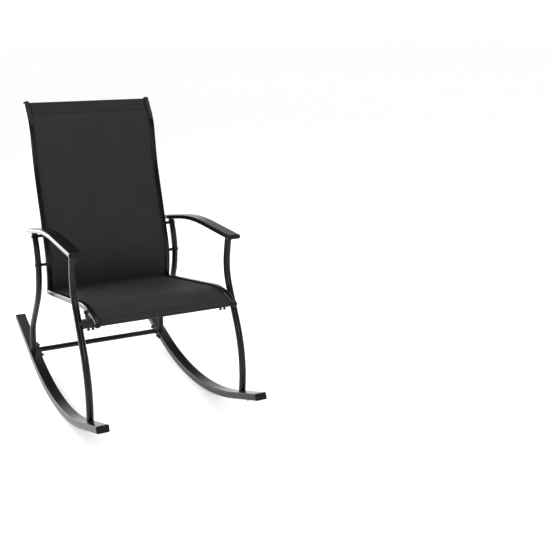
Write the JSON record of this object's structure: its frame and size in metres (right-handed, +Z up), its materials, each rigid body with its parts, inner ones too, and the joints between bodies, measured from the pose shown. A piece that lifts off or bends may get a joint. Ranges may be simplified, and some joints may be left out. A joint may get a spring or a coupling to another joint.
{
  "type": "sling rocking chair",
  "caption": "High-back rocking chair of bent metal tube on curved runners, with flat armrests and one mesh sling held in slotted rails.",
  "frame": {"origin": "on the floor, under the centre of the bounding box", "axes": "+Z up, +X towards the sitter's left, -Y the way the sitter faces; the chair stands in the balanced pose in which it rests on its runners"},
  "size_m": [0.63, 1.1742, 1.1101],
  "materials": {
    "frame_metal": "satin black powder coat",
    "plug_plastic": "matt black moulded plastic",
    "pad_rubber": "matt black rubber",
    "sling_mesh": "coated open weave",
    "bolt_steel": "black zinc plating"
  },
  "bodies": {
    "root": {"runner_left": "frame_metal", "runner_right": "frame_metal", "runner_front_plug_left": "plug_plastic", "runner_front_plug_right": "plug_plastic", "runner_rear_plug_left": "plug_plastic", "runner_rear_plug_right": "plug_plastic", "runner_pads": "pad_rubber", "front_leg_left": "frame_metal", "front_leg_right": "frame_metal", "rear_leg_left": "frame_metal", "rear_leg_right": "frame_metal", "armrest_left": "frame_metal", "armrest_right": "frame_metal", "armrest_front_plug_left": "plug_plastic", "armrest_front_plug_right": "plug_plastic", "armrest_rear_plug_left": "plug_plastic", "armrest_rear_plug_right": "plug_plastic", "back_rail_left": "frame_metal", "back_rail_right": "frame_metal", "seat_rail_left": "frame_metal", "seat_rail_right": "frame_metal", "rail_top_cap_left": "plug_plastic", "rail_top_cap_right": "plug_plastic", "rail_front_cap_left": "plug_plastic", "rail_front_cap_right": "plug_plastic", "back_spline_left": "plug_plastic", "back_spline_right": "plug_plastic", "seat_spline_left": "plug_plastic", "seat_spline_right": "plug_plastic", "sling": "sling_mesh", "back_spreader": "frame_metal", "corner_bar": "frame_metal", "seat_spreader": "frame_metal", "front_cross_tube": "frame_metal", "seat_bracket_left": "frame_metal", "seat_bracket_right": "frame_metal", "rear_crossbar": "frame_metal", "crossbar_flange_left": "frame_metal", "crossbar_flange_right": "frame_metal", "back_bolts": "bolt_steel", "back_spacers": "plug_plastic", "back_inserts": "bolt_steel", "bracket_bolts": "bolt_steel", "bracket_sleeves": "plug_plastic", "bracket_nuts": "bolt_steel", "spreader_screws": "bolt_steel", "spreader_inserts": "bolt_steel", "crossbar_bolts": "bolt_steel", "crossbar_nuts": "bolt_steel"}
  },
  "joints": []
}
